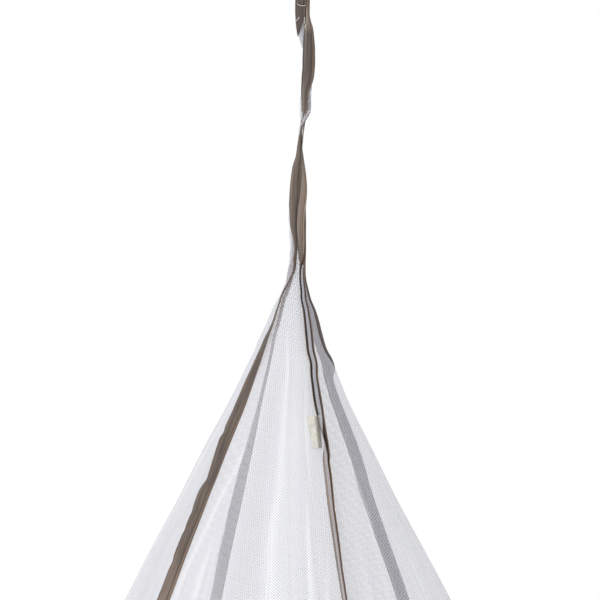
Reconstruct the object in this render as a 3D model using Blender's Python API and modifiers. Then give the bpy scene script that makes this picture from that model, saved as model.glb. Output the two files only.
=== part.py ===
"""Mosquito net canopy: four netting gores with taped seams, gathered into a twisted strap under a hanging loop.

The origin is inside the crown of the hanging loop, where a hook bears. +Z is up, -Y is the front, +X is right.
Sizes are in millimetres, a drop is a depth below the origin, and an azimuth is in degrees from the front,
growing towards +X.
"""
import math

import bmesh
import bpy

MM = 0.001                # metres in a millimetre

NET_THICK = 1.0           # each gore of netting, with its stand-off
SEAM_GAP = 0.35           # each gore stops this far short of its seam
TAPE_THICK = 1.0          # folded tape where it lies flat in the strap
LEG_CLOSED = 0.44         # each leg of the folded tape
LEG_OPEN = 0.70
LEG_GAP = 0.06            # between the two legs where the tape is closed
TAPE_FOLD = 1.4           # solid along the seam where the legs stand open
GROOVE = 0.2              # along the tip where the tape is closed
CLEARANCE = 0.5           # between neighbouring pieces

STRAP_TOP = 52            # where the gores and the bindings end under the loop
TWIST_START = 118         # the strap's half turn takes closer sections
TWIST_END = 310
TWIST_ROW = 12
STRAP_ROW = 22
CONE_ROWS = (333, 355, 369, 381, 393, 407, 424, 441, 458, 476, 496, 520, 560, 640, 774, 1250)
HEM = 2378

SETTLED = 774             # below this drop the folds keep their azimuth
FOLD_GROWTH = 2.5         # how much higher than at SETTLED a fold may grow
FLUTE_START = 700
FLUTE_HEIGHT = 24         # of the broad waves that open towards the hem
FLUTE_GROWTH = 1.3

LOOP_WIDTH = 13
LOOP_LEG_LONG = 104       # drop of the front leg's pointed side
LOOP_LEG_SHORT = 80
LOOP_FRONT = 5.5          # its legs' distances from the strap's middle
LOOP_BACK = -4.0

LABEL_TOP = 557
LABEL_BOTTOM = 596
LABEL_REACH = 16
LABEL_ROOT = 1.3          # from the middle of the binding
LABEL_LEAN = (88, 70)     # between the label and the fin, at its top and its bottom
LABEL_CURL = 0.8


def smooth_curve(drops, values):
    """Return a smooth function through the values, which never overshoots them."""
    steps = [(b - a) / (q - p) for a, b, p, q in zip(values, values[1:], drops, drops[1:])]
    inner = [0 if a * b <= 0 else 2 * a * b / (a + b) for a, b in zip(steps, steps[1:])]
    slopes = [steps[0]] + inner + [steps[-1]]

    def value(drop):
        if drop <= drops[0]:
            return values[0]
        if drop >= drops[-1]:
            return values[-1]
        i = max(k for k in range(len(drops) - 1) if drops[k] <= drop)
        span = drops[i + 1] - drops[i]
        t = (drop - drops[i]) / span
        ends = values[i] * (1 + 2 * t) * (1 - t) ** 2 + values[i + 1] * t * t * (3 - 2 * t)
        return ends + span * (slopes[i] * t * (1 - t) ** 2 - slopes[i + 1] * t * t * (1 - t))

    return value


def table(columns, *rows):
    """Return one smooth function of the drop for each named column; the first column is the drop."""
    drops = [row[0] for row in rows]
    names = columns.split()[1:]
    return {name: smooth_curve(drops, [row[i + 1] for row in rows]) for i, name in enumerate(names)}


# The middle surface of the netting: a flat twisted tube in the strap, opening into the round cone.
NET = table("drop   centre  half_wide  half_deep  round  twist",
            (52,    0.0,    7.5,       1.1,       0.0,   186),
            (84,    -1.2,   7.5,       1.1,       0.0,   192),
            (108,   0.5,    8.0,       1.1,       0.0,   190),
            (132,   4.5,    7.5,       1.1,       0.0,   182),
            (162,   4.5,    8.0,       1.1,       0.0,   162),
            (180,   3.0,    8.0,       1.1,       0.0,   140),
            (202,   0.0,    7.0,       1.1,       0.0,   110),
            (222,   -2.4,   6.5,       1.1,       0.0,   90),
            (252,   -4.4,   7.0,       1.1,       0.0,   50),
            (288,   -6.0,   7.5,       1.1,       0.0,   12),
            (336,   -6.0,   7.5,       1.2,       0.0,   0),
            (367,   -6.0,   8.0,       2.6,       0.2,   0),
            (378,   -6.8,   9.0,       5.0,       0.6,   0),
            (397,   -9.0,   12.0,      10.5,      0.95,  0),
            (420,   -12.0,  19.2,      19.0,      1.0,   0),
            (444,   -13.2,  29.0,      29.0,      1.0,   0),
            (480,   -16.2,  40.8,      40.8,      1.0,   0),
            (540,   -16.8,  70.8,      70.8,      1.0,   0),
            (600,   -17.6,  101.5,     101.5,     1.0,   0),
            (660,   -17.4,  131.0,     131.0,     1.0,   0),
            (720,   -17.0,  163.0,     163.0,     1.0,   0),
            (774,   -16.0,  190.5,     190.5,     1.0,   0),
            (2378,  -16.0,  992.0,     992.0,     1.0,   0))

# Seam azimuths, and the way each binding's fin points from its seam to its folded edge.
# open: how far each leg of the folded tape stands from the fin's middle. shift: sideways, in the strap.
BINDINGS = {
    "binding_left_front": table(
        "drop   seam  points  width  open  shift",
        (52,    -4,   -90,    8.5,   0,    0),
        (336,   -4,   -90,    9.5,   0,    0),
        (367,   -8,   -72,    8.5,   0,    0),
        (380,   -15,  -45,    9.0,   0,    0),
        (397,   -28,  -24,    9.5,   0,    0),
        (420,   -40,  -22,    11.0,  0,    0),
        (456,   -43,  -28,    13.0,  0,    0),
        (480,   -44,  -38,    14.0,  0,    0),
        (504,   -44,  -52,    15.0,  0,    0),
        (540,   -44,  -66,    15.0,  0,    0),
        (578,   -45,  -73,    15.0,  0,    0),
        (630,   -46.5, -52,   15.0,  0,    0),
        (656,   -47.2, -84,   15.0,  0,    0),
        (2378,  -48,  -82,    15.0,  0,    0)),
    "binding_centre_front": table(
        "drop   seam  points  width  open  shift",
        (52,    4,    90,     8.5,   0,    0),
        (336,   4,    90,     9.5,   0,    0),
        (367,   12,   75,     9.0,   0.3,  0),
        (397,   28,   42,     7.0,   1.2,  0),
        (420,   29,   26,     8.0,   1.6,  0),
        (480,   31,   22,     10.0,  1.8,  0),
        (516,   28,   20,     11.0,  1.8,  0),
        (552,   24.5, 28,     14.0,  0.2,  0),
        (600,   22,   38,     15.0,  0,    0),
        (660,   21,   26,     15.0,  0,    0),
        (774,   18.7, 28,     15.0,  0,    0),
        (2378,  18,   28,     15.0,  0,    0)),
    "binding_right_back": table(
        "drop   seam  points  width  open  shift",
        (52,    176,  90,     14.5,  0,    -9),
        (132,   176,  90,     15.0,  0,    -9.5),
        (180,   176,  90,     13.0,  0,    -7),
        (222,   176,  90,     11.0,  0,    -4),
        (288,   176,  90,     9.5,   0,    0),
        (336,   176,  90,     9.5,   0,    0),
        (367,   168,  106,    9.0,   0,    0),
        (397,   148,  140,    8.0,   0.8,  0),
        (420,   130,  158,    9.5,   2.0,  0),
        (456,   128,  152,    11.5,  2.4,  0),
        (498,   131,  132,    13.5,  2.8,  0),
        (540,   135,  124,    15.0,  0.2,  0),
        (600,   136,  108,    15.0,  0,    0),
        (660,   138,  96,     15.0,  0,    0),
        (2378,  141,  94,     15.0,  0,    0)),
    "binding_left_back": table(
        "drop   seam  points  width  open  shift",
        (52,    184,  270,    8.5,   0,    0),
        (336,   184,  270,    9.5,   0,    0),
        (367,   188,  255,    9.5,   0,    0),
        (397,   200,  212,    10.0,  0,    0),
        (420,   208,  198,    12.0,  0,    0),
        (480,   208,  192,    15.0,  0,    0),
        (540,   207,  195,    15.0,  0,    0),
        (600,   205,  217,    15.0,  0,    0),
        (660,   205,  240,    15.0,  0,    0),
        (774,   205,  248,    15.0,  0,    0),
        (2378,  205,  244,    15.0,  0,    0)),
}

# Each gore runs between two seams, with this many columns of faces.
GORES = {
    "net_front": ("binding_left_front", "binding_centre_front", 0, 10),
    "net_right": ("binding_centre_front", "binding_right_back", 0, 13),
    "net_back": ("binding_right_back", "binding_left_back", 0, 10),
    "net_left": ("binding_left_back", "binding_left_front", 360, 11),
}

# Soft ridges (+) and troughs (-) of the netting, from where each starts to where it settles.
FOLDS = (
    # start, azimuth_top, azimuth_low, width, height
    (456,  -3,    -7,    6,  5),
    (500,  15,    9,     5,  -3),
    (600,  -33,   -42,   5,  3),
    (470,  66,    58,    6,  6),
    (520,  84,    80,    7,  -5),
    (600,  -58,   -70,   7,  -6),
    (520,  -88,   -92,   9,  4),
    (540,  -122,  -118,  8,  -6),
    (500,  112,   108,   7,  5),
    (540,  172,   168,   8,  -6),
    (560,  190,   188,   7,  4),
)
FLUTES = ((7, 40, 1.0), (11, 115, 0.6))       # waves round the hem, phase, share of FLUTE_HEIGHT


def fold_height(azimuth, drop):
    """Return how far the folds push the netting outwards."""
    height = 0
    for start, azimuth_top, azimuth_low, width, full in FOLDS:
        if drop > start:
            grown = (drop - start) / (SETTLED - start)
            middle = azimuth_top + (azimuth_low - azimuth_top) * min(grown, 1)
            away = (azimuth - middle + 180) % 360 - 180
            height += full * min(grown, FOLD_GROWTH) * math.exp(-(away / width) ** 2)
    if drop > FLUTE_START:
        open_share = ((drop - FLUTE_START) / (HEM - FLUTE_START)) ** FLUTE_GROWTH
        waves = sum(share * math.sin(math.radians(count * azimuth + phase)) for count, phase, share in FLUTES)
        height += FLUTE_HEIGHT * open_share * waves
    return height


def turned(u, v, drop, twist, centre):
    """Turn a point of the level's own frame by its twist and place it, in metres."""
    angle = math.radians(twist)
    x = centre + u * math.cos(angle) - v * math.sin(angle)
    y = u * math.sin(angle) + v * math.cos(angle)
    return (x * MM, y * MM, -drop * MM)


def net_point(azimuth, drop, outwards=0):
    """Return (u, v) on the netting's section at this level, moved outwards from its middle surface."""
    wide = NET["half_wide"](drop)
    deep = NET["half_deep"](drop)
    roundness = NET["round"](drop)
    side = math.sin(math.radians(azimuth))
    front = math.cos(math.radians(azimuth))
    raised = outwards + fold_height(azimuth, drop)
    round_point = ((wide + raised) * side, -(deep + raised) * front)
    flat_u = (wide + outwards) * side
    past_end = max(0, abs(flat_u) - (wide - deep))
    flat_v = -math.copysign(math.sqrt(max(0, (deep + outwards) ** 2 - past_end ** 2)), front)
    return (round_point[0] * roundness + flat_u * (1 - roundness),
            round_point[1] * roundness + flat_v * (1 - roundness))


def placed(point, drop):
    """Place a section's point (u, v) at its drop, in metres."""
    return turned(point[0], point[1], drop, NET["twist"](drop), NET["centre"](drop))


def row_drops():
    """Return the drops of the sections that every gore and binding passes through."""
    strap = list(range(STRAP_TOP, TWIST_START, STRAP_ROW))
    twist = list(range(TWIST_START, TWIST_END + 1, TWIST_ROW))
    return strap + twist + list(CONE_ROWS) + [HEM]


def cloth_material(name, colour, roughness):
    """Return a plain material."""
    material = bpy.data.materials.new(name)
    material.use_nodes = True
    shader = material.node_tree.nodes["Principled BSDF"]
    shader.inputs["Base Color"].default_value = (*colour, 1)
    shader.inputs["Roughness"].default_value = roughness
    shader.inputs["Metallic"].default_value = 0
    return material


def add_piece(name, mesh_data, material, thickness=None):
    """Make a smooth-shaded object from a bmesh, with a Solidify modifier where it is an open sheet."""
    if thickness is None:
        bmesh.ops.recalc_face_normals(mesh_data, faces=mesh_data.faces)
    mesh = bpy.data.meshes.new(name)
    mesh_data.to_mesh(mesh)
    mesh_data.free()
    mesh.shade_smooth()
    piece = bpy.data.objects.new(name, mesh)
    piece.data.materials.append(material)
    collection.objects.link(piece)
    if thickness is not None:
        solidify = piece.modifiers.new("thickness", "SOLIDIFY")
        solidify.thickness = thickness * MM
        solidify.offset = 0
    return piece


def grid_sheet(point_rows):
    """Return a bmesh sheet through rows of points."""
    sheet = bmesh.new()
    rows = [[sheet.verts.new(point) for point in points] for points in point_rows]
    for upper, lower in zip(rows, rows[1:]):
        for i in range(len(upper) - 1):
            sheet.faces.new((upper[i], lower[i], lower[i + 1], upper[i + 1]))
    return sheet


def gore(name, material):
    """One gore of netting, from its narrow tip in the strap to the hem."""
    seam_a, seam_b, wrap, columns = GORES[name]
    rows = []
    for drop in row_drops():
        first = BINDINGS[seam_a]["seam"](drop)
        last = BINDINGS[seam_b]["seam"](drop) + wrap
        first += edge_angle(first, drop)
        last -= edge_angle(last, drop)
        azimuths = [first + (last - first) * i / columns for i in range(columns + 1)]
        rows.append([placed(net_point(azimuth, drop), drop) for azimuth in azimuths])
    return add_piece(name, grid_sheet(rows), material, NET_THICK)


def edge_angle(azimuth, drop):
    """Return the angle that takes up SEAM_GAP along the section."""
    here = net_point(azimuth - 0.5, drop)
    there = net_point(azimuth + 0.5, drop)
    return SEAM_GAP / math.dist(here, there)


def binding_section(binding, drop, layer):
    """Return the closed section of a folded tape: two legs that meet at the seam, open or closed at the tip."""
    width = binding["width"](drop)
    opened = min(1, binding["open"](drop))
    gap = LEG_GAP / 2 + binding["open"](drop)
    leg = LEG_CLOSED + (LEG_OPEN - LEG_CLOSED) * opened
    groove = GROOVE + (width - TAPE_FOLD - GROOVE) * opened
    half = TAPE_THICK / 2
    outwards = NET_THICK / 2 + CLEARANCE + half + layer * (TAPE_THICK + CLEARANCE)
    base = net_point(binding["seam"](drop), drop, outwards)
    along = math.radians(binding["points"](drop))
    reach = (math.sin(along), -math.cos(along))
    across = (math.cos(along), math.sin(along))
    middle = (gap + leg + half) / 2
    outline = ((0, -half), (width / 2, -middle), (width, -gap - leg), (width, -gap), (width - groove, 0),
               (width, gap), (width, gap + leg), (width / 2, middle), (0, half))
    shift = binding["shift"](drop)
    return [placed((base[0] + shift + e * reach[0] + n * across[0], base[1] + e * reach[1] + n * across[1]), drop)
            for e, n in outline]


def seam_binding(name, material, layer=0):
    """One folded tape, from the strap's top to the hem, as a loft of its sections."""
    loft = bmesh.new()
    rings = [[loft.verts.new(point) for point in binding_section(BINDINGS[name], drop, layer)]
             for drop in row_drops()]
    for upper, lower in zip(rings, rings[1:]):
        for i in range(len(upper)):
            j = (i + 1) % len(upper)
            loft.faces.new((upper[i], lower[i], lower[j], upper[j]))
    loft.faces.new(rings[0])
    loft.faces.new(rings[-1])
    bmesh.ops.triangulate(loft, faces=loft.faces)
    return add_piece(name, loft, material)


def hanging_loop(material):
    """The tape loop: an eye above the strap, and two legs sewn to the strap's faces."""
    # distance from the strap's middle, drop
    course = ((LOOP_FRONT, LOOP_LEG_LONG), (LOOP_FRONT, 74), (LOOP_FRONT, 62), (LOOP_FRONT, STRAP_TOP),
              (6.8, 40), (8.0, 26), (7.2, 12), (4.2, 2.6), (0.0, -0.5), (-4.2, 2.6), (-7.2, 12), (-7.6, 26),
              (-5.6, 40), (LOOP_BACK, STRAP_TOP), (LOOP_BACK, 62), (LOOP_BACK, 74), (LOOP_BACK, LOOP_LEG_SHORT))
    rows = []
    for away, drop in course:
        slant = LOOP_LEG_LONG - LOOP_LEG_SHORT if drop == LOOP_LEG_LONG else 0
        rows.append([placed((share * LOOP_WIDTH, away), drop - slant * (0.5 - share)) for share in (-0.5, 0, 0.5)])
    return add_piece("hanging_loop", grid_sheet(rows), material, TAPE_THICK)


def side_label(material):
    """The small bare label, caught beside the centre front seam and lying over the front gore."""
    binding = BINDINGS["binding_centre_front"]
    steps = 4
    rows = []
    for step in range(steps + 1):
        drop = LABEL_TOP + (LABEL_BOTTOM - LABEL_TOP) * step / steps
        seam = binding["seam"](drop)
        root = net_point(seam, drop, 2 * NET_THICK)
        lean = LABEL_LEAN[0] + (LABEL_LEAN[1] - LABEL_LEAN[0]) * step / steps
        along = math.radians(seam - lean)
        outwards = math.radians(seam)
        points = []
        for i in range(steps + 1):
            reach = LABEL_ROOT + (LABEL_REACH - LABEL_ROOT) * i / steps
            curl = LABEL_CURL * math.sin(math.pi * i / steps)
            u = root[0] + reach * math.sin(along) + curl * math.sin(outwards)
            v = root[1] - reach * math.cos(along) - curl * math.cos(outwards)
            points.append(placed((u, v), drop))
        rows.append(points)
    return add_piece("side_label", grid_sheet(rows), material, TAPE_THICK)


for old in list(bpy.data.objects):
    bpy.data.objects.remove(old, do_unlink=True)
collection = bpy.data.collections.new("mosquito_net_canopy")
bpy.context.scene.collection.children.link(collection)

netting = cloth_material("white netting", (0.84, 0.85, 0.88), 0.8)
satin = cloth_material("taupe satin tape", (0.14, 0.105, 0.085), 0.45)
label_cloth = cloth_material("cream label cloth", (0.62, 0.58, 0.47), 0.75)

for gore_name in GORES:
    gore(gore_name, netting)
for binding_name in BINDINGS:
    seam_binding(binding_name, satin, layer=1 if binding_name == "binding_right_back" else 0)
hanging_loop(satin)
side_label(label_cloth)
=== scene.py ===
"""Mosquito net canopy: four sheer gores, satin seam tapes, a twisted strap and its hanging loop.

Lengths are in millimetres and are turned to metres when a mesh is made. A drop is a depth below the origin,
which lies inside the crown of the hanging loop. An azimuth is in degrees from the front, growing towards +X.
"""
import math
import random

import bpy
import numpy as np
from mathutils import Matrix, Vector


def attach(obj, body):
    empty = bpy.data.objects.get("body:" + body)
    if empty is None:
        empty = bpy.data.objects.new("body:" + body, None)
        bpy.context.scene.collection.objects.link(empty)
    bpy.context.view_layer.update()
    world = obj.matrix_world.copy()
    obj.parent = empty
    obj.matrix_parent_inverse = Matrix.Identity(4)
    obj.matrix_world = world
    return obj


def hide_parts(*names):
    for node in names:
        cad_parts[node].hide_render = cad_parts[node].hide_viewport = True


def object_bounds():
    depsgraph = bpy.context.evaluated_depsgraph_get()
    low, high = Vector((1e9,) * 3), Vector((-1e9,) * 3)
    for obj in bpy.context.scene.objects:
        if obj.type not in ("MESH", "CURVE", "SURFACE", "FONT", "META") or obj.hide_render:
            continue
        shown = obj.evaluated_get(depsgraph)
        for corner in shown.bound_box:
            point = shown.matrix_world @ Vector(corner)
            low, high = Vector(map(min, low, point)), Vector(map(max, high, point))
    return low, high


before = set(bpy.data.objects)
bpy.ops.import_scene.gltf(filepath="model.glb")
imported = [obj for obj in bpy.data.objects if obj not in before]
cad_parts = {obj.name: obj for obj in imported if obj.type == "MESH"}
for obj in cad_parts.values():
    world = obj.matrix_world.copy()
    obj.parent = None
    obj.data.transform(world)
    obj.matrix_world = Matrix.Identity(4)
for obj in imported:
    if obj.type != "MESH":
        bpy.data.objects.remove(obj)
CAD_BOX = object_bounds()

MM = 0.001
HEM = 2378
STRAP_TOP = 52
FINE_ROWS_END = 800       # rows are close together down to here
FINE_ROW = 3.5
COARSE_ROW = 19
COLUMN = 0.62             # degrees of azimuth in a column of faces
SEAM_GAP = 0.3            # each gore stops this far short of its seam
TAPE_WIDTH = 30           # the seam tape before it is folded in half
TAPE_CLOTH = 0.45
TAPE_STAND_OFF = 0.75     # from the netting to the tape's near edge
FOLD_GAP = 0.34           # half the space between a folded tape's legs


def smooth_curve(drops, values):
    """Return a smooth function through the values, which never overshoots them."""
    steps = [(b - a) / (q - p) for a, b, p, q in zip(values, values[1:], drops, drops[1:])]
    inner = [0 if a * b <= 0 else 2 * a * b / (a + b) for a, b in zip(steps, steps[1:])]
    slopes = [steps[0]] + inner + [steps[-1]]

    def value(drop):
        if drop <= drops[0]:
            return values[0]
        if drop >= drops[-1]:
            return values[-1]
        i = max(k for k in range(len(drops) - 1) if drops[k] <= drop)
        span = drops[i + 1] - drops[i]
        t = (drop - drops[i]) / span
        ends = values[i] * (1 + 2 * t) * (1 - t) ** 2 + values[i + 1] * t * t * (3 - 2 * t)
        return ends + span * (slopes[i] * t * (1 - t) ** 2 - slopes[i + 1] * t * t * (1 - t))

    return value


def table(columns, *rows):
    """Return one smooth function of the drop for each named column; the first column is the drop."""
    drops = [row[0] for row in rows]
    names = columns.split()[1:]
    return {name: smooth_curve(drops, [row[i + 1] for row in rows]) for i, name in enumerate(names)}


def eased(low, high, value):
    """Return 0 below low and 1 above high, with a smooth step between."""
    t = min(1, max(0, (value - low) / (high - low)))
    return t * t * (3 - 2 * t)


# The netting: a flat twisted tube in the strap, opening into the round cone.
# back: how far it lies behind the tapes.
NET = table("drop centre half_wide half_deep round twist back",
            (52,   0.5,   5.0,   0.8,   0.0,  186, 0.0),
            (84,   -0.4,  5.5,   0.8,   0.0,  192, 0.0),
            (104,  1.4,   6.0,   0.8,   0.0,  190, 0.0),
            (122,  4.8,   4.6,   0.8,   0.0,  184, 0.0),
            (150,  5.0,   4.8,   0.8,   0.0,  170, 0.0),
            (180,  2.6,   6.5,   0.8,   0.0,  140, 0.0),
            (202,  0.0,   4.5,   0.8,   0.0,  110, 0.4),
            (222,  -2.2,  3.5,   0.8,   0.0,  90,  1.2),
            (252,  -4.0,  4.0,   0.8,   0.0,  50,  2.6),
            (288,  -6.0,  5.0,   0.8,   0.0,  12,  2.6),
            (318,  -6.9,  7.2,   0.9,   0.0,  0,   1.8),
            (340,  -6.8,  7.6,   1.0,   0.0,  0,   1.2),
            (367,  -7.8,  7.8,   2.6,   0.2,  0,   0.4),
            (378,  -8.3,  8.7,   5.0,   0.6,  0,   0.0),
            (397,  -9.5,  11.5,  10.2,  0.95, 0,   0.0),
            (408,  -10.0, 14.4,  14.4,  1.0,  0,   0.0),
            (420,  -12.0, 19.1,  19.2,  1.0,  0,   0.0),
            (432,  -12.6, 24.6,  24.2,  1.0,  0,   0.0),
            (444,  -13.5, 28.6,  29.3,  1.0,  0,   0.0),
            (456,  -15.0, 32.7,  34.5,  1.0,  0,   0.0),
            (468,  -16.2, 37.2,  39.8,  1.0,  0,   0.0),
            (480,  -16.4, 41.8,  45.1,  1.0,  0,   0.0),
            (498,  -15.2, 51.8,  53.2,  1.0,  0,   0.0),
            (516,  -15.8, 60.0,  61.4,  1.0,  0,   0.0),
            (540,  -16.8, 70.8,  72.4,  1.0,  0,   0.0),
            (600,  -17.6, 101.5, 101.3, 1.0,  0,   0.0),
            (660,  -17.4, 131.0, 131.2, 1.0,  0,   0.0),
            (720,  -17.0, 163.0, 162.2, 1.0,  0,   0.0),
            (774,  -16.0, 190.5, 190.5, 1.0,  0,   0.0),
            (2378, -16.0, 992.0, 992.0, 1.0,  0,   0.0))

# Seam azimuths on the cone, and the way each tape stands out from its seam.
# open: how far each leg of the folded tape stands from the middle.
SEAMS = {
    "binding_left_front": table(
        "drop seam points width open",
        (336,  -4,    -90, 9.5,  0),
        (367,  -8,    -36, 5.0,  0.9),
        (382,  -10,   -19, 5.5,  0.9),
        (397,  -32,   -14, 7.5,  0.3),
        (410,  -52,   -11, 9.0,  0),
        (425,  -46,   -8,  10.5, 0),
        (439,  -45.0, -8,  11.5, 0),
        (461,  -44.0, -17, 13.0, 0),
        (490,  -45.0, -30, 14.5, 0),
        (518,  -44.5, -46, 15.0, 0),
        (540,  -44.2, -56, 15.0, 0),
        (578,  -45,   -73, 15.0, 0),
        (630,  -46.5, -52, 15.0, 0),
        (656,  -47.2, -84, 15.0, 0),
        (2378, -48,   -82, 15.0, 0)),
    "binding_centre_front": table(
        "drop seam points width open",
        (336,  6,    80, 9.5,  0),
        (367,  20,   30, 7.0,  1.4),
        (378,  30,   14, 7.0,  2.0),
        (400,  36.7, 8,  7.5,  2.8),
        (433,  36.6, 8,  7.5,  3.5),
        (458,  38.0, 8,  8.0,  4.2),
        (486,  33.9, 8,  8.0,  4.4),
        (514,  28.2, 8,  9.0,  4.2),
        (540,  27.6, 8,  9.0,  4.8),
        (564,  26.7, 10, 10.0, 3.8),
        (588,  26.0, 14, 13.0, 2.0),
        (612,  22.4, 30, 15.0, 1.2),
        (636,  21.4, 31, 15.0, 1.0),
        (660,  20.5, 30, 15.0, 0.8),
        (708,  19.6, 27, 15.0, 0.6),
        (774,  18.9, 23, 15.0, 0.4),
        (2378, 18,   28, 15.0, 0)),
    "binding_right_back": table(
        "drop seam points width open",
        (336,  174,   90,  9.5,  0),
        (367,  168,   96,  8.0,  0),
        (378,  160,   110, 8.0,  0),
        (397,  150,   118, 8.5,  0),
        (408,  146,   119, 9.5,  0),
        (420,  140.7, 118, 11.0, 0),
        (432,  138,   115, 12.0, 0.2),
        (444,  133,   122, 13.0, 0.4),
        (456,  129.6, 131, 14.5, 0.4),
        (468,  127.6, 132, 15.0, 0.6),
        (480,  127.6, 129, 15.0, 0.8),
        (498,  134.0, 100, 15.0, 0.8),
        (516,  135.3, 142, 15.0, 0.6),
        (540,  135.5, 132, 15.0, 0.2),
        (600,  136,   108, 15.0, 0),
        (660,  138,   96,  15.0, 0),
        (2378, 141,   94,  15.0, 0)),
    "binding_left_back": table(
        "drop seam points width open",
        (336,  184, 270, 9.5,  0),
        (367,  188, 255, 9.5,  0),
        (397,  200, 212, 10.0, 0),
        (420,  208, 198, 12.0, 0),
        (480,  208, 192, 15.0, 0),
        (540,  207, 195, 15.0, 0),
        (600,  205, 217, 15.0, 0),
        (660,  205, 240, 15.0, 0),
        (774,  205, 248, 15.0, 0),
        (2378, 205, 244, 15.0, 0)),
}

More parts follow.
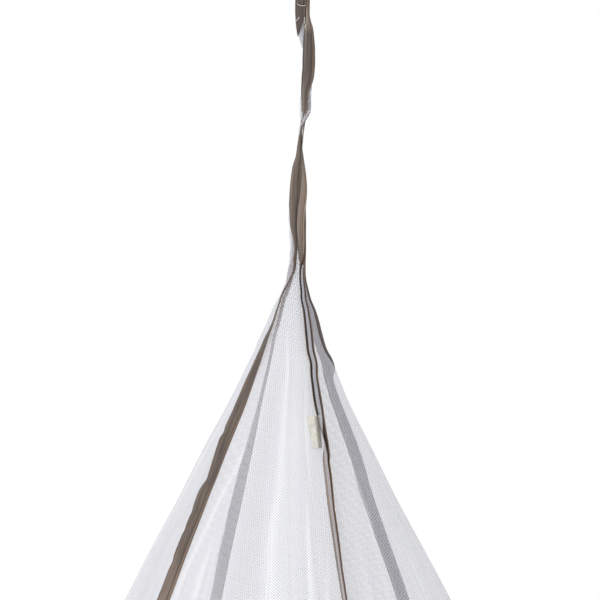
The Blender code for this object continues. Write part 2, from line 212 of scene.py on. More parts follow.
# Each tape's near edge (root) and far edge (tip) in the strap, and how far its middle bulges between them.
STRAP = {
    "binding_left_front": table(
        "drop root_x root_y tip_x tip_y bulge",
        (52,  -1.0, 3.6,  6.0,   3.2,   0.4),
        (84,  -0.6, 3.6,  7.0,   3.0,   0.4),
        (104, -0.2, 3.6,  10.0,  3.0,   0.6),
        (120, 0.4,  3.6,  11.0,  3.0,   0.6),
        (161, 1.0,  3.4,  10.2,  2.4,   0.8),
        (180, 1.0,  3.0,  9.0,   0.5,   0.8),
        (188, 1.5,  2.6,  9.4,   -1.0,  0.8),
        (194, 1.5,  2.4,  8.8,   -3.0,  0.8),
        (199, 1.0,  2.2,  6.8,   -4.8,  0.6),
        (203, 0.5,  1.8,  4.2,   -5.8,  0.6),
        (208, -0.3, 1.2,  0.6,   -6.5,  0.4),
        (212, -0.9, 1.0,  -2.4,  -6.8,  0.4),
        (220, -1.4, 0.4,  -4.9,  -6.4,  0.4),
        (229, -1.7, 0.6,  -6.0,  -6.4,  0.6),
        (236, -1.9, 0.8,  -7.1,  -6.4,  0.8),
        (247, -2.4, 1.0,  -8.6,  -6.2,  1.2),
        (254, -2.8, 1.0,  -10.8, -5.8,  1.6),
        (262, -3.2, 1.0,  -13.0, -5.2,  2.0),
        (272, -3.5, 1.0,  -14.5, -4.8,  2.3),
        (286, -3.9, 0.8,  -15.6, -4.4,  2.4),
        (300, -4.6, 0.4,  -16.1, -4.2,  2.4),
        (317, -5.8, -0.4, -15.8, -4.4,  2.0),
        (329, -6.8, -1.4, -15.4, -4.8,  1.6),
        (337, -7.2, -2.2, -14.0, -5.6,  1.2),
        (348, -7.6, -3.0, -11.6, -7.4,  0.6),
        (358, -7.8, -3.4, -10.4, -8.6,  0.4),
        (372, -9.0, -4.2, -12.6, -10.0, 0.4)),
    "binding_centre_front": table(
        "drop root_x root_y tip_x tip_y bulge",
        (52,  6.0,  5.0,  -2.5, 5.2,   -0.4),
        (84,  7.0,  5.0,  -1.6, 5.2,   -0.4),
        (120, 9.0,  5.0,  0.2,  5.0,   -0.6),
        (134, 8.8,  5.0,  -0.6, 5.4,   -0.6),
        (161, 8.0,  4.8,  -1.2, 5.8,   -0.8),
        (180, 7.0,  4.4,  -1.0, 6.5,   -0.8),
        (194, 4.6,  3.4,  0.8,  7.6,   -0.6),
        (204, 2.6,  2.4,  1.4,  7.8,   -0.4),
        (211, 0.9,  0.8,  0.8,  7.0,   -0.3),
        (220, -0.4, -2.6, 0.1,  5.0,   0.0),
        (229, -0.9, -3.2, -0.5, 4.4,   0.0),
        (236, -1.6, -3.0, -1.2, 4.0,   0.0),
        (241, -1.9, -2.6, -0.9, 3.6,   0.0),
        (247, -2.2, -1.8, 0.0,  1.6,   0.4),
        (252, -2.4, -1.2, 1.0,  -0.6,  0.8),
        (262, -2.7, -0.6, 2.4,  -3.0,  1.2),
        (272, -2.6, -0.6, 3.6,  -3.8,  1.6),
        (286, -3.4, -1.2, 4.6,  -4.0,  1.8),
        (300, -4.8, -2.4, 4.2,  -4.0,  1.8),
        (311, -6.0, -3.4, 3.4,  -4.0,  1.6),
        (322, -7.1, -4.4, 2.4,  -4.0,  1.2),
        (336, -7.4, -5.2, 2.0,  -4.6,  0.8),
        (348, -6.8, -5.4, 2.0,  -5.4,  0.7),
        (360, -5.8, -5.0, 1.6,  -6.2,  0.6),
        (372, -4.6, -4.8, 0.6,  -7.4,  0.3),
        (392, -2.6, -8.0, 0.6,  -13.0, 0.0)),
    "binding_right_back": table(
        "drop root_x root_y tip_x tip_y bulge",
        (52,  8.6,  -3.4, 3.0,  -4.0, 0.5),
        (77,  7.8,  -3.4, 3.4,  -4.8, 0.5),
        (84,  9.0,  -3.4, 3.1,  -5.2, 0.7),
        (94,  12.0, -3.2, 1.1,  -5.6, 1.0),
        (104, 13.2, -3.0, 0.7,  -5.8, 1.4),
        (120, 14.4, -2.8, -0.2, -5.6, 1.8),
        (134, 14.5, -2.8, -1.0, -5.2, 1.9),
        (151, 13.3, -2.8, -1.4, -5.0, 1.7),
        (161, 10.8, -3.4, -1.7, -4.8, 1.5),
        (168, 7.4,  -4.4, -1.9, -4.6, 1.4),
        (180, 6.0,  -4.6, -1.6, -4.2, 1.2),
        (192, 5.4,  -4.4, -1.4, -3.0, 0.9),
        (200, 3.0,  -3.6, -1.8, -0.4, 0.6),
        (206, 0.8,  -3.0, -2.6, 2.4,  0.3),
        (216, -1.0, -0.2, -3.8, 6.2,  0.2),
        (229, -2.4, 1.8,  -4.2, 7.8,  0.2),
        (246, -4.0, 3.2,  -2.0, 8.8,  0.6),
        (272, -7.0, 4.4,  2.0,  6.8,  1.0),
        (300, -8.0, 4.2,  3.2,  2.6,  1.2),
        (311, -6.0, 2.6,  3.4,  -0.8, 1.2),
        (328, -4.6, 1.0,  3.2,  -2.4, 1.0),
        (343, -3.4, 0.0,  3.1,  -2.8, 0.8),
        (372, -1.6, 0.2,  3.6,  -2.2, 0.5),
        (392, -2.6, 4.0,  3.8,  1.0,  0.3)),
    "binding_left_back": table(
        "drop root_x root_y tip_x tip_y bulge",
        (52,  1.0,  -1.8, 7.0,   -1.9, 0.3),
        (84,  1.0,  -1.8, 8.0,   -1.9, 0.3),
        (104, 1.0,  -1.9, 11.4,  -1.8, 0.3),
        (120, 1.0,  -2.0, 12.6,  -1.8, 0.4),
        (161, 0.6,  -2.2, 9.4,   -2.2, 0.4),
        (180, 0.2,  -2.2, 5.2,   -2.8, 0.3),
        (192, -0.6, -1.6, 4.0,   -2.6, 0.2),
        (200, -1.4, -0.4, 1.4,   -2.0, 0.1),
        (206, -2.2, 1.2,  -1.4,  -1.4, 0.1),
        (216, -2.6, 3.0,  -3.8,  -0.8, 0.2),
        (229, -2.6, 4.0,  -5.4,  1.6,  0.4),
        (246, -3.2, 5.0,  -7.8,  3.0,  0.8),
        (272, -4.4, 5.8,  -13.0, 4.2,  1.2),
        (300, -5.4, 5.4,  -14.6, 4.4,  1.4),
        (343, -6.4, 4.4,  -13.4, 5.2,  1.0),
        (372, -7.6, 4.2,  -12.8, 6.8,  0.4)),
}
STRAP_ENDS = 362          # the strap's own numbers hold down to here
CONE_BEGINS = 392         # and the cone's from here

# Edge of a tape drawn in by a stitch that caught it: drop, how far, and over what length.
TUCKS = {
    "binding_left_front": ((455, 0.9, 5), (578, 1.3, 5), (585, -0.9, 4), (634, 1.1, 4), (672, 1.0, 5),
                           (694, 0.9, 4), (732, 1.1, 5), (905, 1.2, 6), (1120, 1.0, 6)),
    "binding_centre_front": ((486, 0.8, 4), (606, -1.3, 4), (613, 1.2, 4), (668, 0.8, 4), (741, 0.7, 4)),
    "binding_right_back": ((96, 0.6, 5), (142, 0.5, 6), (640, 0.9, 5)),
    "binding_left_back": ((440, 0.8, 5), (560, 0.9, 5), (700, 0.9, 5)),
}

# Painted light and shade of each tape's satin, from -1 (darker) to 1 (lighter), down its length, in place of
# how the satin turns to the light.
PAINTED_SATIN_LIGHT = {
    "binding_left_front": smooth_curve((52, 190, 230, 300, 350, 420, 500, 600, 760, 2378),
                                       (-0.2, 0.1, -0.1, 0.0, 0.25, 0.45, 0.2, -0.15, 0.1, 0)),
    "binding_centre_front": smooth_curve((52, 180, 250, 330, 372, 400, 560, 600, 640, 2378),
                                         (-0.2, 0.3, 0.45, 0.35, -0.2, -0.8, -0.6, 0.2, 0.35, 0)),
    "binding_right_back": smooth_curve((52, 84, 92, 102, 160, 200, 260, 372, 420, 500, 2378),
                                       (0.5, 0.9, 0.5, -0.75, -0.85, -0.3, 0.1, 0.2, -0.7, -0.8, -0.3)),
    "binding_left_back": smooth_curve((52, 300, 2378), (0, 0, -0.5)),
}
# The loop's satin is painted darker all along: painted shade.
LOOP_PAINTED_SHADE = -0.8

# Each gore's two seams, and the turn that brings its second seam after its first.
GORES = {
    "net_front": ("binding_left_front", "binding_centre_front", 0),
    "net_right": ("binding_centre_front", "binding_right_back", 0),
    "net_back": ("binding_right_back", "binding_left_back", 0),
    "net_left": ("binding_left_back", "binding_left_front", 360),
}

# How far the mesh is turned on each gore, in degrees.
GRAIN = {"net_front": 7, "net_right": 21, "net_back": -33, "net_left": -15}

# Soft ridges (+) and troughs (-) of the netting, from where each starts to where it settles.
SETTLED = 774
FOLDS = (
    # start, azimuth_top, azimuth_low, width, height
    (456, -3,   -7,   6, 5.0),
    (500, 15,   9,    5, -3.0),
    (600, -33,  -42,  5, 3.0),
    (470, 66,   58,   6, 6.0),
    (520, 84,   80,   7, -5.0),
    (600, -58,  -70,  7, -6.0),
    (520, -88,  -92,  9, 4.0),
    (540, -122, -118, 8, -6.0),
    (500, 112,  108,  7, 5.0),
    (540, 172,  168,  8, -6.0),
    (560, 190,  188,  7, 4.0),
)
FINE_FOLDS = (
    (400, 14,  8,    1.7, 2.2),
    (430, -6,  -8.5, 1.5, 1.8),
    (470, 3,   1,    1.6, -1.4),
    (540, -16, -19,  2.2, 1.4),
    (690, 14,  10.5, 1.4, 1.6),
    (590, 38,  31,   2.2, 2.2),
    (640, -31, -36,  2.0, 1.8),
    (450, 42,  37,   2.0, 1.6),
    (480, 52,  48,   2.4, -1.6),
    (430, 72,  64,   1.8, 2.0),
    (500, -54, -58,  2.2, 1.4),
    (560, -78, -82,  3.0, 1.8),
)
FOLD_GROWTH = 2.5         # the most that a fold grows below SETTLED

# Narrow lines where the netting lies double (+) or pulled thin (-), as azimuths down the cone; the same lines
# are painted lighter on ridges (painted highlight) and darker in troughs (painted shade).
LIT_AND_DOUBLED_LINES = (
    # width, strength, (drop, azimuth) ...
    (1.5,  0.85,  ((440, -3.5), (500, -3.1), (590, -4.2), (640, -4.8), (700, -7.1), (760, -6.7), (2378, -9))),
    (5.0,  0.30,  ((500, 3.0), (564, 2.6), (660, -1.5), (768, -3.0), (2378, -5))),
    (0.9,  0.80,  ((430, 24), (490, 22.6), (564, 14.3), (620, 12.2), (700, 9.2), (770, 8.1), (2378, 6))),
    (1.3,  0.50,  ((560, -29), (608, -32.5), (660, -38.9), (710, -42.4), (760, -44.9), (2378, -46))),
    (1.2,  0.35,  ((680, -33), (715, -34.5), (746, -35.9), (2378, -38))),
    (0.8,  0.45,  ((690, 17.2), (720, 16.5), (778, 13.7), (2378, 11))),
    (1.6,  0.95,  ((490, 70), (550, 67.1), (596, 67.3), (670, 63.4), (770, 58.0), (2378, 54))),
    (1.8,  0.45,  ((540, 30), (660, 28.1), (778, 22.9), (2378, 21))),
    (1.2,  0.40,  ((560, 44), (660, 43), (778, 38), (2378, 35))),
    (2.4,  -0.45, ((560, -54), (618, -58.5), (734, -70.8), (2378, -74))),
    (5.0,  -0.35, ((480, -18), (600, -17), (760, -17), (2378, -18))),
    (2.0,  0.40,  ((560, 80), (660, 79), (778, 76), (2378, 74))),
    (2.0,  0.60,  ((520, -66), (640, -80), (760, -84), (2378, -86))),
    (1.4,  0.60,  ((480, 106), (600, 102), (778, 100), (2378, 99))),
    (1.2,  0.55,  ((470, 172), (600, 168), (778, 171), (2378, 170))),
    (2.0,  0.45,  ((520, 190), (660, 187), (778, 184), (2378, 182))),
    (1.5,  0.55,  ((500, -122), (640, -118), (778, -117), (2378, -116))),
    (2.5,  0.40,  ((540, -96), (700, -99), (2378, -103))),
)
LIT_AND_DOUBLED_PATHS = [(width, strength, smooth_curve([row[0] for row in path], [row[1] for row in path]), path[0][0])
              for width, strength, path in LIT_AND_DOUBLED_LINES]
FLUTES = ((7, 40, 1.0), (11, 115, 0.6))       # waves round the hem, phase, share of FLUTE_HEIGHT
FLUTE_START = 700
FLUTE_HEIGHT = 24
FLUTE_GROWTH = 1.3
PLEATS = 130              # small pleats run down from the collar all round
PLEAT_DEPTH = 0.0042      # of the radius
PLEAT_GROWS = 260         # from a pleat's start to its full depth
PLEAT_FADES = 2.5         # degrees beside a seam


def ridge_light_and_doubling(azimuths, drop):
    """Return how far the netting lies double at these azimuths, 0 where it is single; the same number paints
    the ridge lines' highlight and shade.
    """
    total = np.zeros_like(azimuths)
    for width, strength, path, start in LIT_AND_DOUBLED_PATHS:
        grown = eased(start - 10, start + 70, drop)
        if grown:
            total += strength * grown * np.exp(-(between(azimuths, path(drop)) / width) ** 2)
    return total


def small_pleats():
    """Return (start, azimuth, lean, width, depth) for the small uneven pleats."""
    dice = random.Random(11)
    pleats = []
    for i in range(PLEATS):
        azimuth = (i + dice.uniform(-0.4, 0.4)) * 360 / PLEATS
        start = dice.choice((370, 390, 430, 520, 640, 800))
        pleats.append((start, azimuth, dice.uniform(-2, 2), dice.uniform(0.5, 1.3), dice.uniform(-1, 1)))
    return pleats


SMALL_PLEATS = small_pleats()


def between(azimuths, middle):
    """Return the signed angles from middle, from -180 to 180."""
    return (azimuths - middle + 180) % 360 - 180


def fold_heights(azimuths, drop):
    """Return how far the folds push the netting outwards at these azimuths."""
    heights = np.zeros_like(azimuths)
    for start, azimuth_top, azimuth_low, width, full in FOLDS + FINE_FOLDS:
        if drop > start:
            grown = (drop - start) / (SETTLED - start)
            middle = azimuth_top + (azimuth_low - azimuth_top) * min(grown, 1)
            heights += full * min(grown, FOLD_GROWTH) * np.exp(-(between(azimuths, middle) / width) ** 2)
    if drop > FLUTE_START:
        open_share = ((drop - FLUTE_START) / (HEM - FLUTE_START)) ** FLUTE_GROWTH
        waves = sum(share * np.sin(np.radians(count * azimuths + phase)) for count, phase, share in FLUTES)
        heights += FLUTE_HEIGHT * open_share * waves
    return heights


def pleat_heights(azimuths, drop, edges):
    """Return the height of the small pleats, which die out towards the seams at the edges."""
    heights = np.zeros_like(azimuths)
    radius = NET["half_wide"](drop)
    for start, azimuth, lean, width, depth in SMALL_PLEATS:
        if drop > start:
            settled = min(1, (drop - start) / PLEAT_GROWS)
            away = between(azimuths, azimuth + lean * settled)
            heights += PLEAT_DEPTH * radius * settled * depth * np.exp(-(away / width) ** 2)
    nearest = np.minimum(abs(azimuths - edges[0]), abs(azimuths - edges[1]))
    return heights * np.clip(nearest / PLEAT_FADES, 0, 1)


def net_points(azimuths, drop, outwards=0.0, extra=0.0):
    """Return points of the netting's section, in millimetres, moved outwards from its surface."""
    wide, deep, roundness = NET["half_wide"](drop), NET["half_deep"](drop), NET["round"](drop)
    side, front = np.sin(np.radians(azimuths)), np.cos(np.radians(azimuths))
    raised = outwards + fold_heights(azimuths, drop) + extra
    flat_u = (wide + outwards) * side
    past_end = np.maximum(0, abs(flat_u) - (wide - deep))
    flat_v = -np.copysign(np.sqrt(np.maximum(0, (deep + outwards) ** 2 - past_end ** 2)), front)
    u = (wide + raised) * side * roundness + flat_u * (1 - roundness)
    v = -(deep + raised) * front * roundness + flat_v * (1 - roundness)
    angle = math.radians(NET["twist"](drop))
    x = NET["centre"](drop) + u * math.cos(angle) - v * math.sin(angle)
    y = NET["back"](drop) + u * math.sin(angle) + v * math.cos(angle)
    return np.stack([x, y, np.full_like(x, -drop)], axis=1)


def row_drops():
    """Return the drops of the rows that gores and tapes share."""
    fine = list(np.arange(STRAP_TOP, FINE_ROWS_END, FINE_ROW))
    count = round((HEM - FINE_ROWS_END) / COARSE_ROW)
    return fine + [FINE_ROWS_END + (HEM - FINE_ROWS_END) * i / count for i in range(count + 1)]


def grid_faces(rows, columns, closed=False):
    """Return the faces of a grid of points, closed into a tube across its columns or left open."""
    faces = []
    for row in range(rows - 1):
        for column in range(columns if closed else columns - 1):
            after = (column + 1) % columns
            faces.append((row * columns + column, (row + 1) * columns + column,
                          (row + 1) * columns + after, row * columns + after))
    return faces


def capped_faces(rows, count):
    """Return the faces of a closed tube whose outline runs out and back, with both of its ends filled."""
    faces = grid_faces(rows, count, closed=True)
    last = (rows - 1) * count
    for i in range(count // 2 - 1):
        faces.append((i, i + 1, count - 2 - i, count - 1 - i))
        faces.append((last + i + 1, last + i, last + count - 1 - i, last + count - 2 - i))
    return faces


def make_piece(name, points, faces, maps, material):
    """Return a smooth-shaded object from rows of points in millimetres, with a UV map for each of maps."""
    mesh = bpy.data.meshes.new(name)
    mesh.from_pydata([tuple(point) for point in np.vstack(points) * MM], [], faces)
    corners = np.empty(len(mesh.loops), dtype=np.int64)
    mesh.loops.foreach_get("vertex_index", corners)
    for map_name, values in maps.items():
        layer = mesh.uv_layers.new(name=map_name)
        layer.data.foreach_set("uv", np.vstack(values).astype(np.float32)[corners].ravel())
    mesh.materials.append(material)
    mesh.shade_smooth()
    piece = bpy.data.objects.new(name, mesh)
    bpy.context.scene.collection.objects.link(piece)
    return piece


# ---------------------------------------------------------------- materials


class Term:
    """A number in a material's maths; an expression on terms adds its Math nodes."""

    def __init__(self, cloth, socket):
        self.cloth = cloth
        self.socket = socket

    def __add__(self, other):
        return self.cloth.maths("ADD", self, other)

    def __sub__(self, other):
        return self.cloth.maths("SUBTRACT", self, other)

    def __mul__(self, other):
        return self.cloth.maths("MULTIPLY", self, other)

    def __truediv__(self, other):
        return self.cloth.maths("DIVIDE", self, other)

    def __pow__(self, other):
        return self.cloth.maths("POWER", self, other)

    def __abs__(self):
        return self.cloth.maths("ABSOLUTE", self)

    def __rsub__(self, other):
        return self.cloth.maths("SUBTRACT", other, self)

    __radd__ = __add__
    __rmul__ = __mul__


class Cloth:
    """A material that is being made."""

    def __init__(self, name):
        self.material = bpy.data.materials.new(name)
        self.material.use_nodes = True
        self.tree = self.material.node_tree
        self.shader = self.tree.nodes["Principled BSDF"]

    def add(self, kind, settings, sockets):
        """Add a node of this kind: its settings first, then values or links for its sockets."""
        node = self.tree.nodes.new(kind)
        for key, value in settings.items():
            setattr(node, key, value)
        self.fill(node, sockets)
        return node

    def fill(self, node, sockets):
        """Give a node's sockets their values or links."""
        for key, value in sockets.items():
            if isinstance(value, Term):
                self.tree.links.new(value.socket, node.inputs[key])
            elif isinstance(value, bpy.types.NodeSocket):
                self.tree.links.new(value, node.inputs[key])
            else:
                node.inputs[key].default_value = value

    def maths(self, operation, *values):
        """Return the result of a Math node."""
        node = self.add("ShaderNodeMath", {"operation": operation}, dict(enumerate(values)))
        return Term(self, node.outputs[0])

    def step(self, low, high, value):
        """Return a smooth step of the value from 0 at low to 1 at high."""
        node = self.add("ShaderNodeMapRange", {"interpolation_type": "SMOOTHSTEP"},
                        {"Value": value, "From Min": low, "From Max": high})
        return Term(self, node.outputs[0])

    def place(self, map_name):
        """Return the two numbers of a UV map."""
        uv = self.add("ShaderNodeUVMap", {"uv_map": map_name}, {})
        parts = self.add("ShaderNodeSeparateXYZ", {}, {0: uv.outputs[0]})
        return Term(self, parts.outputs[0]), Term(self, parts.outputs[1])

    def noise(self, x, y, detail=2.0, z=0.0):
        """Return a soft noise of two numbers, from 0 to 1."""
        where = self.add("ShaderNodeCombineXYZ", {}, {0: x, 1: y, 2: z})
        cloud = self.add("ShaderNodeTexNoise", {"noise_dimensions": "3D"},
                         {"Vector": where.outputs[0], "Scale": 1.0, "Detail": detail, "Roughness": 0.55})
        return Term(self, cloud.outputs[0])

    def blend(self, share, first, second):
        """Return a colour between two colours."""
        node = self.add("ShaderNodeMix", {"data_type": "RGBA"}, {0: share, 6: first, 7: second})
        return node.outputs[2]

    def bump(self, height, distance, strength):
        """Return a normal that is tilted by the height."""
        node = self.add("ShaderNodeBump", {}, {"Height": height, "Distance": distance, "Strength": strength})
        return node.outputs[0]


MESH_WIDTH = 0.0032      # metres, one cell of the netting
MESH_HEIGHT = 0.0039


def netting_material():
    """Fine white open mesh: the threads are painted, and their holes are clear."""
    net = Cloth("white netting")
    across, along = net.place("weave")
    turn, drop = net.place("place")
    doubled_and_ridge_light, _ = net.place("doubled_and_ridge_light")
    a = across / MESH_WIDTH
    b = along / MESH_HEIGHT
    one_way = abs(net.maths("SINE", (a + b) * math.pi))
    other_way = abs(net.maths("SINE", (a - b) * math.pi))
    thread = 1 - net.step(0.16, 0.54, net.maths("MINIMUM", one_way, other_way))
    streaks = net.noise(turn * 260, drop * 3.0, 3.0)
    clouds = net.noise(turn * 40, drop * 1.6, 2.0, 5.0)
    gathered = 1 - net.step(0.33, 0.52, drop)
    hem = net.step(2.3560, 2.3575, drop)
    in_strap = 1 - net.step(0.345, 0.37, drop)
    density = 0.74 + streaks * 0.56 + gathered * 0.5 + in_strap * 2.4 + hem * 1.4 + doubled_and_ridge_light * 1.1
    filled = net.maths("MAXIMUM", doubled_and_ridge_light, 0.0) * 0.34
    open_share = (1 - (0.05 + thread * 0.86)) ** density * (1 - filled)
    # Painted light: the netting's colour is lighter along its streaks and clouds and whitest on the ridge
    # lines (painted highlights); the streaks and the doubled lines also make it denser.
    lit = streaks * 0.6 + clouds * 0.3 + doubled_and_ridge_light * 0.8
    colour = net.blend(net.step(0.25, 0.8, lit), (0.685, 0.685, 0.75, 1), (0.92, 0.92, 0.965, 1))
    bright = net.blend(net.step(0.05, 0.8, doubled_and_ridge_light), colour, (0.97, 0.97, 1.0, 1))
    net.fill(net.shader, {
        "Base Color": bright,
        "Roughness": 0.75,
        "Alpha": 1 - open_share,
        "Normal": net.bump(streaks, 0.0012, 0.5),
    })
    net.shader.inputs["Specular IOR Level"].default_value = 0.25
    return net.material


STITCH_LINE = 0.0042      # metres from a tape's free edge
STITCH_LENGTH = 0.0027


def satin_material():
    """Taupe satin ribbon: a soft sheen, lengthwise creases, a stitch line and a browner selvedge; its lighter
    and darker stretches are painted light and shade.
    """
    satin = Cloth("taupe satin tape")
    across, along = satin.place("weave")
    from_edge = satin.maths("MINIMUM", across, TAPE_WIDTH * MM - across)
    creases = satin.noise(across * 300, along * 12, 3.0)
    crumples = satin.noise(across * 420, along * 150, 2.0, 3.0)
    sheen = satin.noise(across * 70, along * 11, 2.0, 7.0)
    ribs = satin.maths("SINE", along * (2 * math.pi / 0.0009))
    selvedge = 1 - satin.step(0.0034, 0.0042, from_edge)
    on_line = 1 - satin.step(0.0003, 0.0007, abs(from_edge - STITCH_LINE))
    beat = satin.maths("FRACT", along / STITCH_LENGTH)
    stitch = on_line * (0.55 + 0.45 * satin.step(0.22, 0.3, beat))
    pucker = (1 - satin.step(0.0, 0.0045, abs(from_edge - STITCH_LINE))) * crumples
    # The tone map: painted light and shade from each tape's table.
    tone, _ = satin.place("tone")
    # Painted light and shade: the base colour runs from dark to light taupe with the creases, the painted
    # sheen and the tone table.
    light = satin.step(0.25, 0.75, creases * 0.55 + sheen * 0.45 + tone * 0.22)
    base = satin.blend(light, (0.080, 0.058, 0.047, 1), (0.300, 0.226, 0.180, 1))
    edged = satin.blend(selvedge * 0.6, base, (0.275, 0.180, 0.128, 1))
    colour = satin.blend(stitch * 0.85, edged, (0.030, 0.020, 0.016, 1))
    height = creases * 0.9 + pucker * 1.2 + ribs * 0.02 - on_line * 0.8
    satin.fill(satin.shader, {
        "Base Color": colour,
        "Roughness": 0.36 + crumples * 0.2,
        "Normal": satin.bump(height, 0.0012, 0.8),
    })
    satin.shader.inputs["Specular IOR Level"].default_value = 0.6
    satin.shader.inputs["Sheen Weight"].default_value = 0.12
    return satin.material


def label_material():
    """Cream woven label cloth, bare."""
    label = Cloth("cream label cloth")
    across, along = label.place("weave")
    warp = label.maths("SINE", across * (2 * math.pi / 0.0007))
    weft = label.maths("SINE", along * (2 * math.pi / 0.0009))
    tone = label.noise(across * 300, along * 180, 2.0)
    label.fill(label.shader, {
        "Base Color": label.blend(label.step(0.3, 0.7, tone), (0.64, 0.62, 0.54, 1), (0.80, 0.78, 0.70, 1)),
        "Roughness": 0.8,
        "Normal": label.bump(warp * 0.3 + weft * 0.3 + tone, 0.0005, 0.5),
    })
    return label.material


def thread_material():
    """Pale twisted sewing thread."""
    thread = Cloth("pale sewing thread")
    across, along = thread.place("weave")
    # Painted shade: the thread's colour is darker in the grooves between its plies.
    ply = abs(thread.maths("SINE", (across * 2 + along * 900) * math.pi))
    thread.fill(thread.shader, {
        "Base Color": thread.blend(ply, (0.58, 0.55, 0.47, 1), (0.88, 0.86, 0.80, 1)),
        "Roughness": 0.65,
        "Normal": thread.bump(ply, 0.0002, 0.6),
    })
    return thread.material


def floor_material():
    """Pale studio floor."""
    floor = Cloth("pale floor")
    where = floor.add("ShaderNodeTexCoord", {}, {})
    cloud = floor.add("ShaderNodeTexNoise", {}, {"Vector": where.outputs["Object"], "Scale": 0.6})
    floor.fill(floor.shader, {
        "Base Color": floor.blend(cloud.outputs[0], (0.78, 0.78, 0.78, 1), (0.82, 0.82, 0.82, 1)),
        "Roughness": 0.7,
    })
    return floor.material


NETTING = netting_material()
SATIN = satin_material()
LABEL_CLOTH = label_material()
THREAD = thread_material()


# ---------------------------------------------------------------- netting


def seam_edges(name, drop):
    """Return the azimuths of a gore's two edges, which stop just short of the seams."""
    first, last, wrap = GORES[name]
    edges = SEAMS[first]["seam"](drop), SEAMS[last]["seam"](drop) + wrap
    short = math.degrees(SEAM_GAP / NET["half_wide"](drop))
    return edges[0] + short, edges[1] - short


def gore(name):
    """One gore of netting, from its gathered tip in the strap to the hem."""
    drops = row_drops()
    low, high = seam_edges(name, HEM)
    columns = round((high - low) / COLUMN)
    share = np.linspace(0, 1, columns + 1)
    points = []
    weave = []
    place = []
    doubled_and_ridge_light = []
    slant = 0.0
    for i, drop in enumerate(drops):
        if i:
            grown = NET["half_wide"](drop) - NET["half_wide"](drops[i - 1])
            slant += math.hypot(drop - drops[i - 1], grown)
        first, last = seam_edges(name, drop)
        azimuths = first + (last - first) * share
        points.append(net_points(azimuths, drop, extra=pleat_heights(azimuths, drop, (first, last))))
        reach = np.radians(azimuths - (first + last) / 2) * NET["half_wide"](drop)
        grain = math.radians(GRAIN[name])
        weave.append(np.stack([(reach * math.cos(grain) - slant * math.sin(grain)) * MM,
                               (reach * math.sin(grain) + slant * math.cos(grain)) * MM], axis=1))
        turn = azimuths / 360 if name == "net_left" else azimuths % 360 / 360
        place.append(np.stack([turn, np.full_like(reach, drop * MM)], axis=1))
        # The third map: where the netting lies double, and the painted highlight and shade of its ridge
        # lines.
        doubled_and_ridge_light.append(np.stack([ridge_light_and_doubling(azimuths, drop), np.zeros_like(reach)], axis=1))
    maps = {"weave": weave, "place": place, "doubled_and_ridge_light": doubled_and_ridge_light}
    piece = make_piece(name + "_mesh", points, grid_faces(len(drops), columns + 1), maps, NETTING)
    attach(piece, "root")
    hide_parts(name)
    width = math.radians(high - low) * NET["half_wide"](HEM) * MM
    0.5 * width * slant * MM


# ---------------------------------------------------------------- tapes


def tape_line(name, drop):
    """Return (root, tip, bulge, open) of a tape's section: its near and far edge, in the level's plane."""
    strap = STRAP[name]
    seam = SEAMS[name]
    base = net_points(np.array([float(seam["seam"](drop))]), drop, outwards=TAPE_STAND_OFF)[0][:2]
    angle = math.radians(seam["points"](drop) + NET["twist"](drop))
    reach = seam["width"](drop) * np.array([math.sin(angle), -math.cos(angle)])
    share = eased(STRAP_ENDS, CONE_BEGINS, drop)
    strap_root = np.array([strap["root_x"](drop), strap["root_y"](drop)])
    strap_tip = np.array([strap["tip_x"](drop), strap["tip_y"](drop)])
    root = strap_root * (1 - share) + base * share
    tip = strap_tip * (1 - share) + (base + reach) * share
    return root, tip, strap["bulge"](drop) * (1 - share), seam["open"](drop)


def waver(drop, seed):
    """Return a small uneven number that wanders along a tape."""
    return (math.sin(drop / 9.3 + seed) * 0.5 + math.sin(drop / 23.7 + seed * 2.1) * 0.8
            + math.sin(drop / 4.1 + seed * 3.3) * 0.25)


LEG_POINTS = 6
NARROWEST = 0.5           # a tape seen on edge in the strap


def tape_section(root, tip, bulge, opened, gap, fold_at_tip):
    """Return the folded tape's closed outline, and how far across the flat tape each of its points lies."""
    axis = tip - root
    width = max(np.linalg.norm(axis), NARROWEST)
    along = axis / width
    across = np.array([-along[1], along[0]])
    middle = []
    steps = np.linspace(0, 1, LEG_POINTS)
    for side, shares in ((-1, steps), (1, steps[::-1])):
        for share in shares:
            reach = share if fold_at_tip else 1 - share
            apart = gap + opened * (1 - share) ** 0.7
            round_off = math.sqrt(max(0, 1 - share ** 8))
            lift = bulge * 4 * reach * (1 - reach)
            middle.append(root + along * width * reach + across * (lift + side * apart * round_off))
    middle = np.delete(np.array(middle), LEG_POINTS, axis=0)
    ahead = np.gradient(middle, axis=0)
    ahead /= np.maximum(np.linalg.norm(ahead, axis=1), 1e-6)[:, None]
    normal = np.stack([-ahead[:, 1], ahead[:, 0]], axis=1) * TAPE_CLOTH / 2
    flat = np.linspace(0, TAPE_WIDTH, len(middle))
    return np.concatenate([middle + normal, (middle - normal)[::-1]]), np.concatenate([flat, flat[::-1]])


def closed_loft(name, sections, alongs, tone, material):
    """Return a capped tube through closed sections, with UV maps of its weave and of its painted light and
    shade.
    """
    points = []
    weave = []
    painted_light_rows = []
    for (outline, flat, drop), along in zip(sections, alongs):
        # The tone map holds the satin's painted light and shade at this drop.
        painted_light_rows.append([(tone(drop), 0)] * len(outline))
        points.append(np.column_stack([outline, np.full(len(outline), -drop)]))
        weave.append(np.column_stack([flat * MM, np.full(len(flat), along * MM)]))
    faces = capped_faces(len(points), len(points[0]))
    return make_piece(name, points, faces, {"weave": weave, "tone": painted_light_rows}, material)


